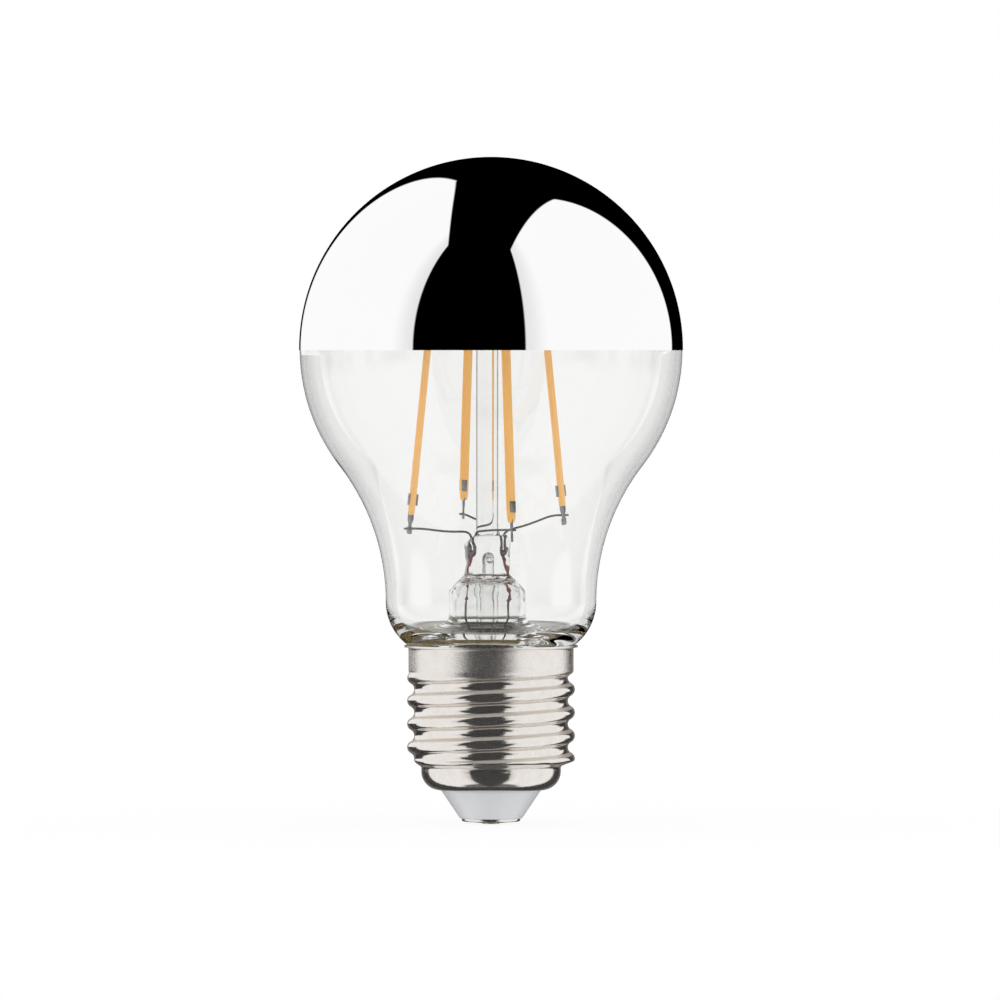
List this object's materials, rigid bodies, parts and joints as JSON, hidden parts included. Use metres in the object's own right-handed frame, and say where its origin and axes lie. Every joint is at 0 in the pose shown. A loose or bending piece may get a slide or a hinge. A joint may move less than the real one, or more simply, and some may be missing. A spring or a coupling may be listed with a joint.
{
  "type": "silver crown filament lamp bulb",
  "caption": "Round glass filament lamp with a silvered mirror crown over clear glass, upright light strips on wire supports, and a nickel screw cap with a pale insulator.",
  "frame": {"origin": "centre of the worn flat on the cap's centre contact, the lowest point of the lamp", "axes": "+Z along the lamp's axis from the cap to the mirror crown; +X to the right and +Y away from the viewer in the picture"},
  "size_m": [0.06, 0.06, 0.1042],
  "materials": {
    "clear_glass": "clear blown and drawn glass",
    "silver_mirror": "silvered, mirror bright",
    "cap_nickel": "nickel plated brass sheet, satin",
    "insulator_grey": "moulded pale grey",
    "solder": "dull tin solder",
    "basing_cement": "baked, matt brown",
    "board_laminate": "glass fibre board, green",
    "can_sleeve": "printed-free dark sleeve",
    "chip_black": "moulded black with tinned legs",
    "resistor_body": "lacquered, tinned wire ends",
    "nickel_wire": "drawn nickel wire",
    "copper_clad": "copper clad iron wire, red in the glass seal",
    "phosphor_coat": "silicone with yellow-orange phosphor",
    "nickel_tab": "stamped nickel plated tab"
  },
  "bodies": {
    "root": {"glass_bulb": "clear_glass", "mirror_coating": "silver_mirror", "stem_flare": "clear_glass", "exhaust_tube": "clear_glass", "support_rod": "clear_glass", "cap_shell": "cap_nickel", "cap_insulator": "insulator_grey", "centre_contact": "cap_nickel", "contact_solder": "solder", "cap_cement": "basing_cement", "driver_board": "board_laminate", "smoothing_capacitor": "can_sleeve", "driver_chip": "chip_black", "fuse_resistor": "resistor_body", "shell_lead": "nickel_wire", "seal_wire_left": "copper_clad", "seal_wire_right": "copper_clad", "outer_lead_left": "nickel_wire", "outer_lead_right": "nickel_wire", "top_wire_left_right": "nickel_wire", "top_wire_front_rear": "nickel_wire", "light_strip_left": "phosphor_coat", "lower_tab_left": "nickel_tab", "upper_tab_left": "nickel_tab", "support_wire_left": "nickel_wire", "light_strip_rear": "phosphor_coat", "lower_tab_rear": "nickel_tab", "upper_tab_rear": "nickel_tab", "support_wire_rear": "nickel_wire", "light_strip_front": "phosphor_coat", "lower_tab_front": "nickel_tab", "upper_tab_front": "nickel_tab", "support_wire_front": "nickel_wire", "light_strip_right": "phosphor_coat", "lower_tab_right": "nickel_tab", "upper_tab_right": "nickel_tab", "support_wire_right": "nickel_wire"}
  },
  "joints": []
}
